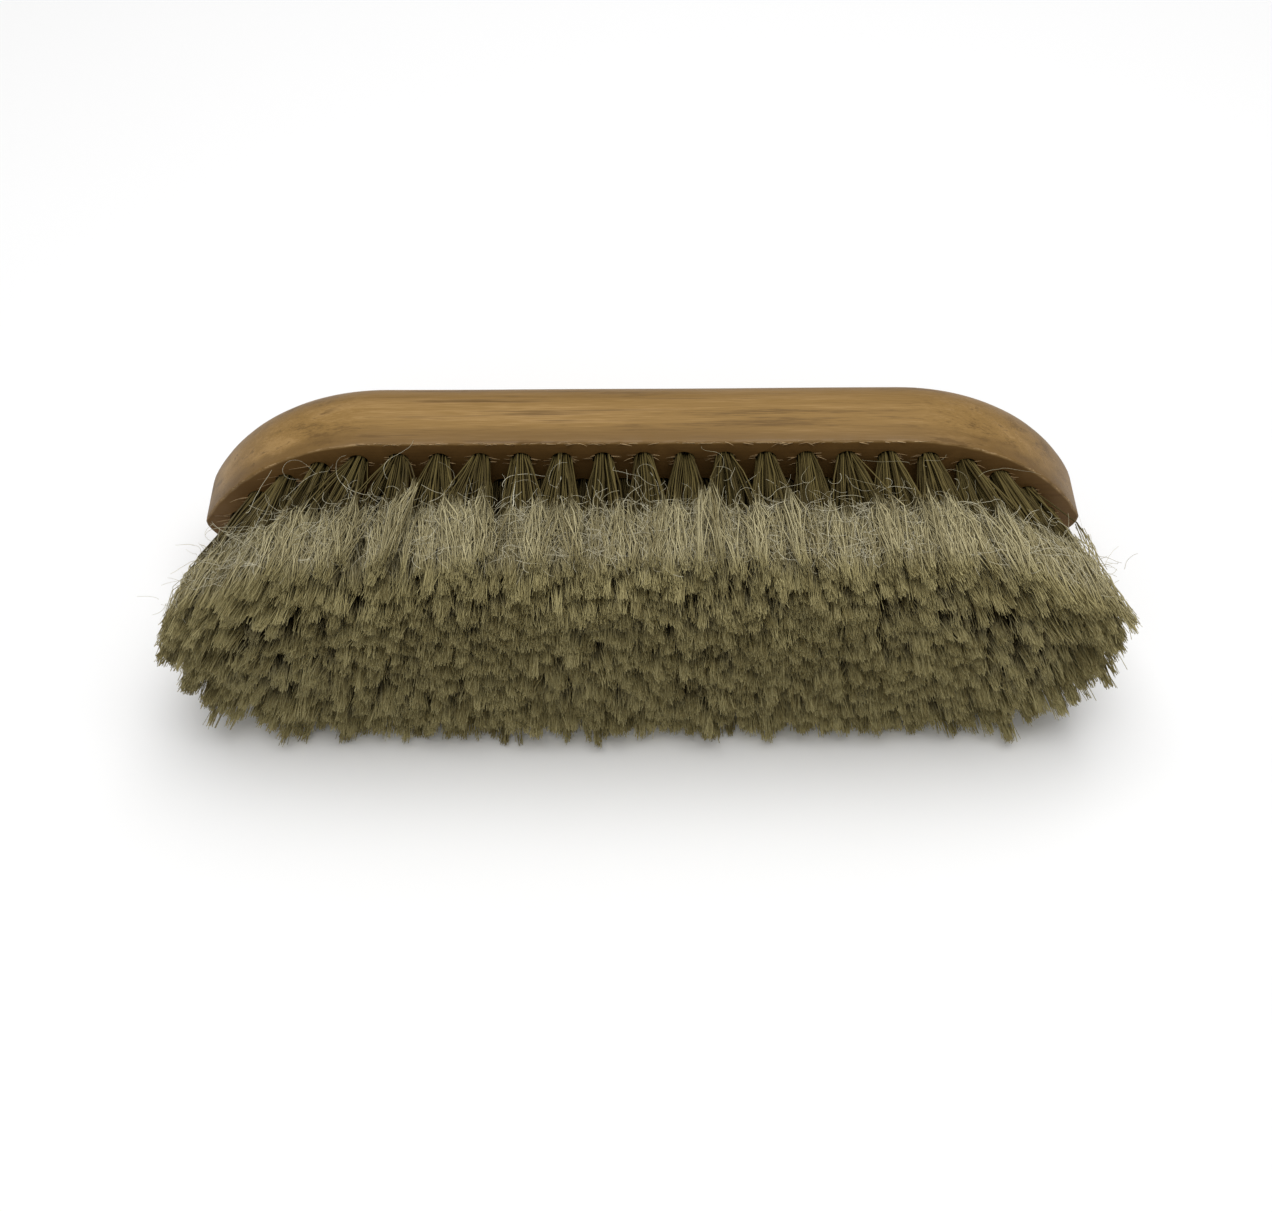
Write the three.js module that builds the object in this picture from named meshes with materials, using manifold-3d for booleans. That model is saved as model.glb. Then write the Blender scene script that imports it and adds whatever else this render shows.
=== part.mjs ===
// Neck duster brush lying on its long side: a one-piece wooden block, drilled on its front face, and the
// bristle tufts that stand in the holes.
// Millimetres. X runs along the brush, +Y from the bristle tips towards the block's back, +Z is up.
// The origin is at the middle of the footprint, on the surface that the brush lies on.

import * as THREE from 'three';
import { LoftGeometry } from 'three/addons/geometries/LoftGeometry.js';
import { mergeVertices } from 'three/addons/utils/BufferGeometryUtils.js';
import Module from 'manifold-3d';

const wasm = await Module();
wasm.setup();

// Driving dimensions of the block.
const BLOCK_LENGTH = 178;
const BLOCK_WIDTH = 48;
const BLOCK_THICKNESS = 19.4;
const SIDE_BAND = 10; // depth of the straight side, from the bristle face to the shoulder
const SHOULDER_INSET = 7.5; // how far the rounded shoulder draws the outline in by the back
const SHOULDER_STEPS = 5;
const SHOULDER_NOSE_SHRINK = 0.4; // of the inset, taken off the nose radius
const EDGE_BREAK = 0.5; // worn edge round the bristle face
const END_ARC_RADIUS = 43;
const NOSE_RADIUS = 4;
const END_ARC_STEPS = 9;
const NOSE_STEPS = 4;

// Driving dimensions of the filling.
const RING_TUFTS = 45;
const ROW_SPACING = 7.64;
const RING_HALF_WIDTH = 2.5 * ROW_SPACING; // six rows in all: the ring's two sides and four inner rows
const RING_END = 82; // from the middle to the ring's foremost hole
const RING_NOSE_RADIUS = 7;
const MIN_HOLE_SPACING = 7.1;
const HOLE_RADIUS = 2;
const HOLE_DEPTH = 11;
const HOLE_SIDES = 8;

// Driving dimensions of the bristles.
const BRISTLE_LENGTH = 38; // from the bristle face to the trimmed tips
const TOP_REACH = 28.4; // how far the top row's tips rise above the block's middle
const SPLAY_START = 45; // the tufts lean outwards from here to the ends
const END_SPLAY = 5.5; // how far the foremost tips lean out past their holes
const CORNER_SPLAY = 10; // further lean of the tufts that are as far off the middle line as the outer rows
const ROOT_GAP = 0.3; // between a bundle and its hole
const ANCHOR_ROOM = 1.2; // left under a bundle for the wire anchor that it is folded over
const RING_TIP_RADIUS = 3.5; // half of a ring tuft's spread, flat to flat
const ROW_TIP_HALF_HEIGHT = 3.9;
const TUFT_SIDES = 8;
const BUNCHES_PER_ROW = [3, 4, 4, 3]; // the tufts of an inner row mat together in a few bunches
const BUNCH_OVERLAP = 0.25; // how far a tuft reaches past half way to the next one in its bunch
const BUNCH_GAP = 0.15; // how far it stays short of half way to the next bunch

// A bundle is narrow in its hole, then spreads: [distance from the bristle face, share of the full spread].
const SPREAD = [
  [0, 0],
  [13, 0.55],
  [25, 1],
  [38, 0.92],
];

const FACE_Y = (BRISTLE_LENGTH - BLOCK_THICKNESS) / 2;
const MIDDLE_Z = BLOCK_WIDTH / 2;

const wood = new THREE.MeshStandardMaterial({ color: 0xb07c45, roughness: 0.55, metalness: 0 });
const bristle = new THREE.MeshStandardMaterial({ color: 0x8f8566, roughness: 0.9, metalness: 0 });

// One end's curve of a long oval, from its straight side to the tip on the axis and on to the other side:
// two large arcs joined by a small nose. Angles are measured from +X.
function ovalEnd(halfLength, halfWidth, arcRadius, noseRadius) {
  const drop = arcRadius - halfWidth;
  const reach = Math.sqrt((arcRadius - noseRadius) ** 2 - drop ** 2);
  const noseX = halfLength - noseRadius;
  const straight = noseX - reach;
  const turn = Math.atan2(drop, reach);
  const upper = [];
  for (let i = 0; i < END_ARC_STEPS; i++) {
    const a = Math.PI / 2 + ((turn - Math.PI / 2) * i) / END_ARC_STEPS;
    upper.push(new THREE.Vector2(straight + arcRadius * Math.cos(a), arcRadius * Math.sin(a) - drop));
  }
  for (let i = 0; i < NOSE_STEPS; i++) {
    const a = turn * (1 - i / NOSE_STEPS);
    upper.push(new THREE.Vector2(noseX + noseRadius * Math.cos(a), noseRadius * Math.sin(a)));
  }
  const lower = upper.map((p) => new THREE.Vector2(p.x, -p.y)).reverse();
  return [...upper, new THREE.Vector2(halfLength, 0), ...lower];
}

// The whole oval, drawn in by the inset, from the +X end round to the -X end.
function ovalOutline(inset, noseShrink = 0) {
  const end = ovalEnd(
    BLOCK_LENGTH / 2 - inset,
    BLOCK_WIDTH / 2 - inset,
    END_ARC_RADIUS - inset,
    NOSE_RADIUS - noseShrink * inset,
  );
  return [...end, ...end.map((p) => new THREE.Vector2(-p.x, -p.y))];
}

function solidOf(geometry) {
  const bare = new THREE.BufferGeometry();
  bare.setAttribute('position', geometry.attributes.position);
  bare.setIndex(geometry.index);
  const merged = mergeVertices(bare, 1e-4);
  const vertProperties = new Float32Array(merged.attributes.position.array);
  const triVerts = new Uint32Array(merged.index.array);
  return new wasm.Manifold(new wasm.Mesh({ numProp: 3, vertProperties, triVerts }));
}

function geometryOf(solid) {
  const { vertProperties, triVerts } = solid.getMesh();
  const geometry = new THREE.BufferGeometry();
  geometry.setAttribute('position', new THREE.BufferAttribute(vertProperties, 3));
  geometry.setIndex(new THREE.BufferAttribute(triVerts, 1));
  geometry.computeVertexNormals();
  return geometry;
}

// The block's outer shape: its outline lofted from the bristle face to the flat back.
function blockShape() {
  const levels = [
    [0, EDGE_BREAK],
    [EDGE_BREAK, 0],
  ];
  for (let i = 0; i <= SHOULDER_STEPS; i++) {
    const a = (Math.PI / 2) * (i / SHOULDER_STEPS);
    const depth = SIDE_BAND + (BLOCK_THICKNESS - SIDE_BAND) * Math.sin(a);
    levels.push([depth, SHOULDER_INSET * (1 - Math.cos(a))]);
  }
  const sections = levels.map(([depth, inset]) =>
    ovalOutline(inset, SHOULDER_NOSE_SHRINK).map((p) => new THREE.Vector3(p.x, depth + FACE_Y, p.y + MIDDLE_Z)),
  );
  return new LoftGeometry(sections, { capStart: true, capEnd: true });
}

// Hole centres on the bristle face, as [x, z from the block's middle].

// The outer ring runs parallel to the block's outline, with its holes evenly spaced along it.
function ringHoles() {
  const edge = BLOCK_WIDTH / 2 - RING_HALF_WIDTH;
  const path = new THREE.Path();
  const end = ovalEnd(RING_END, RING_HALF_WIDTH, END_ARC_RADIUS - edge, RING_NOSE_RADIUS);
  path.moveTo(0, RING_HALF_WIDTH);
  end.forEach((p) => path.lineTo(p.x, p.y));
  end.forEach((p) => path.lineTo(-p.x, -p.y));
  path.closePath();
  return path.getSpacedPoints(RING_TUFTS).slice(0, RING_TUFTS);
}

// An inner row: evenly spaced, staggered against its neighbours, as far as it stays clear of the ring.
function rowHoles(z, pitch, phase, ring) {
  const holes = [];
  for (let k = -RING_TUFTS; k <= RING_TUFTS; k++) {
    const hole = new THREE.Vector2((k + phase) * pitch, z);
    const inside = Math.abs(hole.x) < RING_END;
    if (inside && ring.every((p) => p.distanceTo(hole) >= MIN_HOLE_SPACING)) holes.push(hole);
  }
  return holes;
}

// How much the tips of a row spread out past SPLAY_START, for each millimetre between their holes.
function endStretch(hole) {
  const offMiddle = Math.abs(hole.y) / RING_HALF_WIDTH;
  return (END_SPLAY + CORNER_SPLAY * offMiddle) / (RING_END - SPLAY_START);
}

// How far a tuft's tip lies from its hole: the ends lean outwards, the top row rises, and the bottom row
// is pressed level with the surface below it.
function lean(hole) {
  const outwards = endStretch(hole) * Math.max(0, Math.abs(hole.x) - SPLAY_START);
  const topTip = TOP_REACH - RING_TIP_RADIUS;
  const bottomTip = RING_TIP_RADIUS - MIDDLE_Z;
  const tipZ = (topTip + bottomTip) / 2 + ((topTip - bottomTip) / 2) * (hole.y / RING_HALF_WIDTH);
  return new THREE.Vector2(Math.sign(hole.x) * outwards, tipZ - hole.y);
}

// The centre of a tuft at a distance in front of the bristle face; the lean is followed into the hole too.
function tuftCentre(hole, distance) {
  const tip = lean(hole);
  const share = distance / BRISTLE_LENGTH;
  return new THREE.Vector3(
    hole.x + tip.x * share,
    FACE_Y - distance,
    hole.y + tip.y * share + MIDDLE_Z,
  );
}

// An eight-sided section whose flats face left, right, up and down, with its own reach to each side.
function tuftSection(centre, left, right, halfZ) {
  const corner = 1 / Math.cos(Math.PI / TUFT_SIDES);
  const points = [];
  for (let i = 0; i < TUFT_SIDES; i++) {
    const a = (2 * Math.PI * (i + 0.5)) / TUFT_SIDES;
    const x = (Math.cos(a) > 0 ? right : left) * corner * Math.cos(a);
    const z = halfZ * corner * Math.sin(a);
    points.push(new THREE.Vector3(centre.x + x, centre.y, centre.z + z));
  }
  return points;
}

// A whole bundle, from the bottom of its hole to its spread tips, which reach left, right and halfZ.
function tuftGeometry(hole, left, right, halfZ) {
  const root = HOLE_RADIUS * Math.cos(Math.PI / HOLE_SIDES) - ROOT_GAP;
  const bottom = tuftCentre(hole, ANCHOR_ROOM - HOLE_DEPTH);
  const sections = [tuftSection(bottom, root, root, root)];
  for (const [distance, spread] of SPREAD) {
    const [toLeft, toRight, toSide] = [left, right, halfZ].map((reach) => root + (reach - root) * spread);
    sections.push(tuftSection(tuftCentre(hole, distance), toLeft, toRight, toSide));
  }
  return new LoftGeometry(sections, { capStart: true, capEnd: true });
}

// An inner row cut into bunches of about the same size, each with its number in the row.
function bunchesOf(row, count) {
  const bunches = Array.from({ length: count }, () => []);
  row.forEach((hole, i) => bunches[Math.floor((i * count) / row.length)].push(hole));
  return bunches;
}

// How far the tips of a row's tuft reach towards its neighbour on one side: past half way to it in its own
// bunch, short of half way to the next bunch, and a ring tuft's reach at the row's end.
function reach(hole, neighbour, bunch) {
  if (!neighbour) return RING_TIP_RADIUS;
  const half = Math.abs(neighbour.x + lean(neighbour).x - hole.x - lean(hole).x) / 2;
  return half + (bunch.includes(neighbour) ? BUNCH_OVERLAP : -BUNCH_GAP);
}

function bunchGeometry(bunch, row) {
  const tufts = bunch.map((hole) => {
    const i = row.indexOf(hole);
    const left = reach(hole, row[i - 1], bunch);
    const right = reach(hole, row[i + 1], bunch);
    return solidOf(tuftGeometry(hole, left, right, ROW_TIP_HALF_HEIGHT));
  });
  return geometryOf(tufts.reduce((all, tuft) => all.add(tuft)));
}

// A drilled hole: a slanted cylinder that starts in front of the face and ends blind in the wood.
function holeGeometry(hole) {
  const mouth = tuftCentre(hole, 1);
  const bottom = tuftCentre(hole, -HOLE_DEPTH);
  const along = mouth.clone().sub(bottom);
  const cutter = new THREE.CylinderGeometry(HOLE_RADIUS, HOLE_RADIUS, along.length(), HOLE_SIDES);
  const turn = new THREE.Quaternion().setFromUnitVectors(new THREE.Vector3(0, 1, 0), along.clone().normalize());
  cutter.rotateY(Math.PI / HOLE_SIDES);
  cutter.applyQuaternion(turn);
  cutter.translate(...mouth.add(bottom).multiplyScalar(0.5).toArray());
  return cutter;
}

function mesh(name, geometry, material) {
  const piece = new THREE.Mesh(geometry, material.clone());
  piece.name = name;
  return piece;
}

const brush = new THREE.Group();

const ring = ringHoles();
const pitch = ring[0].distanceTo(ring[1]);
const rows = [1.5, 0.5, -0.5, -1.5].map((step, i) =>
  rowHoles(step * ROW_SPACING, pitch, i % 2 === 0 ? 0.5 : 0, ring),
);

const cutters = [...ring, ...rows.flat()].map((hole) => solidOf(holeGeometry(hole)));
const drilled = cutters.reduce((block, cutter) => block.subtract(cutter), solidOf(blockShape()));
brush.add(mesh('wood_block', geometryOf(drilled), wood));

ring.forEach((hole, i) => {
  const name = `ring_tuft_${String(i + 1).padStart(2, '0')}`;
  brush.add(mesh(name, tuftGeometry(hole, RING_TIP_RADIUS, RING_TIP_RADIUS, RING_TIP_RADIUS), bristle));
});

rows.forEach((row, r) => {
  bunchesOf(row, BUNCHES_PER_ROW[r]).forEach((bunch, b) => {
    brush.add(mesh(`row_${r + 1}_bunch_${b + 1}`, bunchGeometry(bunch, row), bristle));
  });
});

export default brush;
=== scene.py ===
"""A neck duster brush: a one-piece wooden block filled with tufts of flagged natural bristle.

The brush lies on its long side on a pale studio floor. Its length runs along X, the bristles point along -Y
and +Z is up. Everything is in metres.
"""

import math

import bmesh
import bpy
import numpy as np
from bpy.props import FloatProperty, FloatVectorProperty, IntProperty, PointerProperty
from mathutils import Matrix, Vector, noise


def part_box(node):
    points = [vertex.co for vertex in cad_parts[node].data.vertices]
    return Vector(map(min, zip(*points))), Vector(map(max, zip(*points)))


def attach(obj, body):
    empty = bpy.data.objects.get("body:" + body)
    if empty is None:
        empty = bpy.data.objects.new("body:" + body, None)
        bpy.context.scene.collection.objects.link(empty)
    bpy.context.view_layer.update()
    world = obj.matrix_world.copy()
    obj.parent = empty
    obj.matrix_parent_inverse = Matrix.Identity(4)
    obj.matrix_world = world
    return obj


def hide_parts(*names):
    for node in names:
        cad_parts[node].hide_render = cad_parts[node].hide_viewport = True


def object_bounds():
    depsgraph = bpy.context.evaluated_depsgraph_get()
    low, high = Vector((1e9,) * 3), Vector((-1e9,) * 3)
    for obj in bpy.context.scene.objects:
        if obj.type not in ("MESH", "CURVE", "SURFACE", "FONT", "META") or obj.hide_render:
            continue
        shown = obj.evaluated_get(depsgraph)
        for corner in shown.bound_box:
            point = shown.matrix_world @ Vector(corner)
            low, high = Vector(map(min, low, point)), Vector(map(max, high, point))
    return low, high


bl_info = {
    "name": "Neck duster brush",
    "version": (1, 0, 0),
    "blender": (4, 5, 0),
    "location": "View3D > Sidebar > Brush",
    "description": "Builds a wooden neck duster with flagged bristle tufts",
    "category": "Add Mesh",
}

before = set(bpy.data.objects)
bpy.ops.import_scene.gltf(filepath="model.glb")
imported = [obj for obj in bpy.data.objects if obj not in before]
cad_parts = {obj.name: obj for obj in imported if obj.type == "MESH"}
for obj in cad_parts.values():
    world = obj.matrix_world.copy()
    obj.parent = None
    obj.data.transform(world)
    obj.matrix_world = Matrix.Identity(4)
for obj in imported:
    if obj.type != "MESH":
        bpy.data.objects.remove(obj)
cad_box = [list(corner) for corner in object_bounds()]

MM = 0.001
SEED = 20

BLOCK_LOW, BLOCK_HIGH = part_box("wood_block")
FACE_Y = BLOCK_LOW.y
MIDDLE_Z = (BLOCK_LOW.z + BLOCK_HIGH.z) / 2
TIP_Y = cad_box[0][1]
BRISTLE_LENGTH = FACE_Y - TIP_Y
MASS_HALF_LENGTH = cad_box[1][0]
MASS_TOP = cad_box[1][2]

RING_NODES = sorted(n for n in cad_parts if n.startswith("ring_tuft"))
ROW_NODES = sorted(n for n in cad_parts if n.startswith("row_"))


# ---------------------------------------------------------------------------------------------------------
# Sizes and colours
# ---------------------------------------------------------------------------------------------------------


def size(name, description, default):
    return FloatProperty(name=name, description=description, default=default, unit="LENGTH", precision=5)


def colour(name, description, default):
    return FloatVectorProperty(
        name=name, description=description, default=default, size=3, subtype="COLOR", min=0, max=1
    )


def count(name, description, default):
    return IntProperty(name=name, description=description, default=default, min=1)


def degrees(name, description, default):
    return FloatProperty(name=name, description=description, default=math.radians(default), subtype="ANGLE")


def power(name, description, default):
    return FloatProperty(name=name, description=description, default=default, subtype="POWER")


def plain(name, description, default):
    return FloatProperty(name=name, description=description, default=default)


class BrushBlockSettings(bpy.types.PropertyGroup):
    """Shape and finish of the wooden block."""

    length: size("Length", "Block length over its pointed round ends", BLOCK_HIGH.x - BLOCK_LOW.x)
    width: size("Width", "Block width across the bristle face", BLOCK_HIGH.z - BLOCK_LOW.z)
    thickness: size("Thickness", "Bristle face to back", BLOCK_HIGH.y - BLOCK_LOW.y)
    side_band: size("Side band", "Depth of the straight side before the shoulder", 10 * MM)
    shoulder: size("Shoulder", "How far the rounded shoulder draws in by the back", 7.5 * MM)
    end_radius: size("End radius", "Radius of the long arcs at the ends", 43 * MM)
    nose_radius: size("Nose radius", "Radius of the blunt point at each end", 4 * MM)
    edge_break: size("Edge break", "Worn edge round the bristle face", 0.5 * MM)
    hole_radius: size("Hole radius", "Radius of each tuft hole", 2 * MM)
    hole_depth: size("Hole depth", "Depth of each blind hole", 11 * MM)
    pale_wood: colour("Pale wood", "Early wood and worn places", (0.352, 0.212, 0.073))
    honey_wood: colour("Honey wood", "Main colour of the lacquered wood", (0.262, 0.15, 0.04))
    # dark wood is also the colour of the painted shade on the side
    dark_wood: colour("Dark wood", "Dark streaks and end grain", (0.14, 0.075, 0.018))


class BrushBristleSettings(bpy.types.PropertyGroup):
    """Number, thickness and colour of the bristles."""

    stems: count("Stems", "Stout lower bristles in each outer tuft", 74)
    inner_stems: count("Inner stems", "Stout lower bristles in each inner tuft", 44)
    flags: count("Flags", "Fine split ends in each outer tuft", 850)
    inner_flags: count("Inner flags", "Fine split ends in each inner tuft", 950)
    stem_radius: size("Stem radius", "Radius of a bristle at its root", 0.19 * MM)
    flag_radius: size("Flag radius", "Radius of a split end where it leaves its stem", 0.105 * MM)
    root_radius: size("Root radius", "Radius of a tuft at the mouth of its hole", 1.97 * MM)
    spread: size("Spread", "Radius of an opened tuft where it has no neighbour", 4.3 * MM)
    root_colour: colour("Root colour", "Bristle near the block", (0.137, 0.105, 0.034))
    # painted shade: the inner tufts' bristle gets this dark colour for the shade deep among the tufts
    inner_painted_shade: colour("Inner colour", "Bristle inside the mass", (0.078, 0.058, 0.018))
    flag_colour: colour("Flag colour", "Bleached split fibre", (0.54, 0.48, 0.28))
    # partly painted shade: the cut tips are darker than the split ends, for the shade on the tip face
    tip_colour: colour("Tip colour", "Cut tips", (0.45, 0.39, 0.187))
    loose_hairs: count("Loose hairs", "Long curly hairs that stray over the outer tufts", 64)
    frizz: count("Frizz", "Short curls over the split ends", 2000)


class BrushStageSettings(bpy.types.PropertyGroup):
    """Camera, floor and lights."""

    elevation: degrees("Elevation", "Camera height angle", 50.29)
    heading: degrees("Heading", "Camera angle round the brush", -0.59)
    roll: degrees("Roll", "Camera roll", 0.11)
    distance: size("Distance", "Camera distance from the bristle face", 0.34735)
    lens: plain("Lens", "Focal length in millimetres on a 36 mm sensor", 48.11)
    floor_colour: colour("Floor", "Colour of the floor", (0.93, 0.93, 0.93))
    key_power: power("Key", "Power of the overhead softbox", 9)
    fill_power: power("Fill", "Power of the front fill", 1.2)
    sky: plain("Sky", "Strength of the even surrounding light", 0.32)


# ---------------------------------------------------------------------------------------------------------
# Materials
# ---------------------------------------------------------------------------------------------------------

TORN_WOOD = (0.5, 0.35, 0.18)
DARK_TORN_WOOD = (0.3, 0.19, 0.085)
FACE_WOOD = (0.115, 0.047, 0.005)

# Where the block's finish changes, and where painted shade darkens the side towards the front edge and
# towards the back. Each pair is where the change begins and ends.
FRONT_PAINTED_SHADE = (FACE_Y + 1.5 * MM, FACE_Y + 5.5 * MM)
BACK_PAINTED_SHADE = (FACE_Y + 9 * MM, FACE_Y + 14 * MM)
END_GRAIN = (72 * MM, 90 * MM)  # from the middle of the length
TORN_RIM = (FACE_Y + 0.75 * MM, FACE_Y + 1.25 * MM)
ABOVE_FACE = (FACE_Y + 0.05 * MM, FACE_Y + 0.3 * MM)
BRISTLE_FACE = (FACE_Y - 0.05 * MM, FACE_Y + 0.06 * MM)

# Where bristle turns to pale split fibre and where the fibre turns to cut tips, as parts of its length. The
# inner tufts hardly turn pale, so their dark painted shade colour reaches nearly to their tips.
OUTER_BLEACH, OUTER_TRIM = (0.49, 0.61), (0.78, 0.94)
INNER_BLEACH, INNER_TRIM = (0.92, 1.1), (0.89, 1.0)
SHADED_BRISTLE = (0.44, 0.41, 0.33)  # multiplies the colour of the darkest strands
LOOSE_HAIR, BLEACHED_HAIR = (0.4, 0.36, 0.23), (0.66, 0.62, 0.46)
HAIR_TONES = (0.7, 1)  # strand values between which a loose hair goes from the first to the second


class Value:
    """A shader output. Arithmetic on it adds Math nodes."""

    def __init__(self, finish, socket):
        self.finish = finish
        self.socket = socket

    def math(self, operation, *values):
        return self.finish.node("Math", {"operation": operation}, dict(enumerate(values)))

    def __add__(self, other):
        return self.math("ADD", self, other)

    def __sub__(self, other):
        return self.math("SUBTRACT", self, other)

    def __rsub__(self, other):
        return self.math("SUBTRACT", other, self)

    def __mul__(self, other):
        return self.math("MULTIPLY", self, other)

    def __abs__(self):
        return self.math("ABSOLUTE", self)

    __radd__ = __add__
    __rmul__ = __mul__


class Finish:
    """One procedural material round a Principled shader."""

    def __init__(self, name):
        self.material = bpy.data.materials.new(name)
        self.material.use_nodes = True
        self.tree = self.material.node_tree
        self.shader = self.tree.nodes["Principled BSDF"]

    def feed(self, socket, value):
        if isinstance(value, Value):
            self.tree.links.new(value.socket, socket)
        elif socket.type == "RGBA" and len(value) == 3:
            socket.default_value = (*value, 1)
        else:
            socket.default_value = value

    def node(self, kind, settings=None, sockets=None, out=0):
        made = self.tree.nodes.new("ShaderNode" + kind)
        for name, value in (settings or {}).items():
            setattr(made, name, value)
        for name, value in (sockets or {}).items():
            self.feed(made.inputs[name], value)
        return Value(self, made.outputs[out])

    def attribute(self, name):
        return self.node("Attribute", {"attribute_name": name}, out="Fac")

    def place(self):
        """Object coordinates, in metres."""
        return self.node("TexCoord", out="Object")

    def split(self, vector):
        """The X, Y and Z of a vector."""
        first = self.node("SeparateXYZ", sockets={0: vector})
        return [Value(self, socket) for socket in first.socket.node.outputs]

    def between(self, value, low, high):
        """0 below low, 1 above high and smooth between."""
        sockets = {"Value": value, "From Min": low, "From Max": high}
        return self.node("MapRange", {"interpolation_type": "SMOOTHSTEP"}, sockets)

    def mix(self, factor, first, second, blend="MIX"):
        settings = {"data_type": "RGBA", "blend_type": blend}
        return self.node("Mix", settings, {0: factor, 6: first, 7: second}, out=2)

    def grain(self, place, stretch, detail=3, roughness=0.5, distortion=0):
        """Noise from 0 to 1 whose features are 1 / stretch across on each axis."""
        mapped = self.node("Mapping", sockets={"Vector": place, "Scale": stretch})
        sockets = {"Vector": mapped, "Scale": 1, "Detail": detail}
        sockets |= {"Roughness": roughness, "Distortion": distortion}
        return self.node("TexNoise", {"noise_dimensions": "3D"}, sockets)

    def bump(self, height, distance, strength):
        return self.node("Bump", sockets={"Height": height, "Distance": distance, "Strength": strength})

    def set(self, **values):
        for name, value in values.items():
            self.feed(self.shader.inputs[name.replace("_", " ")], value)


def wood_finish(block):
    """Lacquered honey-brown wood with its grain along X, dark streaks, a dry torn edge, and painted shade on
    the side towards the bristle face and towards the back.
    """
    finish = Finish("honey_wood")
    place = finish.place()
    from_middle, depth, _ = finish.split(place)

    bands = finish.grain(place, (9, 170, 170), detail=3, roughness=0.55, distortion=0.4)
    streaks = finish.grain(place, (22, 620, 620), detail=4, roughness=0.6, distortion=0.25)
    fibres = finish.grain(place, (170, 4200, 4200), detail=3, roughness=0.65)
    mottle = finish.grain(place, (60, 90, 90), detail=3, roughness=0.6)

    tone = 0.42 * bands + 0.3 * streaks + 0.28 * fibres
    coloured = finish.mix(finish.between(tone, 0.38, 0.49), block.dark_wood[:], block.honey_wood[:])
    coloured = finish.mix(finish.between(tone, 0.49, 0.6), coloured, block.pale_wood[:])
    dark_lines = finish.between(streaks, 0.56, 0.7) * finish.between(bands, 0.42, 0.56)
    # painted shade: the side is darkened in streaks towards the bristle face and towards the back; shade
    # below adds this painted shade to the real dark streaks
    front_painted_shade = 1 - finish.between(depth + 6 * MM * (bands - 0.5), *FRONT_PAINTED_SHADE)
    back_painted_shade = finish.between(depth, *BACK_PAINTED_SHADE)
    shade = dark_lines * 0.85 + front_painted_shade * 0.7 + back_painted_shade * 0.3
    coloured = finish.mix(shade, coloured, block.dark_wood[:])
    end_grain = finish.between(abs(from_middle), *END_GRAIN) * finish.between(mottle, 0.25, 0.7)
    coloured = finish.mix(end_grain * 0.7, coloured, block.dark_wood[:])
    torn = 1 - finish.between(depth + streaks * (1.6 * MM), *TORN_RIM)
    torn = torn * finish.between(depth, *ABOVE_FACE)
    coloured = finish.mix(torn * finish.between(fibres, 0.35, 0.6) * 0.75, coloured, TORN_WOOD)
    face = 1 - finish.between(depth, *BRISTLE_FACE)
    coloured = finish.mix(face * 0.75, coloured, FACE_WOOD)

    finish.set(
        Base_Color=coloured,
        Roughness=0.42 + 0.2 * mottle + 0.25 * torn + 0.38 * face,
        Normal=finish.bump(0.6 * fibres + 0.4 * streaks, 0.14 * MM, 0.5),
        IOR=1.4,
    )
    return finish.material


def bristle_finish(name, bristle, root, bleach, trim):
    """Natural bristle: olive brown stems that turn to bleached, split fibre and end in darker cut tips,
    partly their own colour and partly painted shade of the tip face. In the inner tufts the root colour is
    painted shade.
    """
    if name in bpy.data.materials:
        return bpy.data.materials[name]
    finish = Finish(name)
    along, strand = finish.attribute("along"), finish.attribute("strand")
    patch = finish.grain(finish.place(), (130, 130, 130), detail=2)

    bleached = finish.between(along + 0.1 * patch + 0.08 * strand, *bleach)
    coloured = finish.mix(bleached, root[:], bristle.flag_colour[:])
    # partly painted shade: the fibre ends turn to the darker tip colour
    coloured = finish.mix(finish.between(along, *trim), coloured, bristle.tip_colour[:])
    dark = finish.mix(1, coloured, SHADED_BRISTLE, "MULTIPLY")
    lit = finish.between(strand + 0.5 * (patch - 0.5), 0, 0.9)
    finish.set(Base_Color=finish.mix(lit, dark, coloured), Roughness=0.65, IOR=1.3)
    return finish.material


def loose_hair_finish():
    """Fine hair bleached paler than the rest."""
    finish = Finish("loose_hair")
    paleness = finish.between(finish.attribute("strand"), *HAIR_TONES)
    finish.set(Base_Color=finish.mix(paleness, LOOSE_HAIR, BLEACHED_HAIR), Roughness=0.6, IOR=1.35)
    return finish.material


def torn_wood_finish():
    """Dry pale slivers lifted by the drill and the saw."""
    finish = Finish("torn_wood")
    coloured = finish.mix(finish.attribute("strand"), DARK_TORN_WOOD, TORN_WOOD)
    finish.set(Base_Color=coloured, Roughness=0.75, IOR=1.4)
    return finish.material


def wire_finish():
    """Drawn steel wire with a dull, slightly streaked surface."""
    finish = Finish("anchor_wire")
    drawn = finish.grain(finish.place(), (3000, 600, 3000), detail=2)
    steel = finish.mix(drawn, (0.36, 0.35, 0.33), (0.55, 0.54, 0.52))
    finish.set(Base_Color=steel, Roughness=0.3 + 0.25 * drawn, Metallic=1)
    return finish.material


def floor_finish(stage):
    """Matt pale studio floor with hardly any texture."""
    finish = Finish("studio_floor")
    cloud = finish.grain(finish.place(), (6, 6, 6), detail=2)
    pale = stage.floor_colour[:]
    finish.set(Base_Color=finish.mix(cloud, [0.985 * c for c in pale], pale), Roughness=0.9)
    return finish.material


# ---------------------------------------------------------------------------------------------------------
# Shared making
# ---------------------------------------------------------------------------------------------------------


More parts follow.
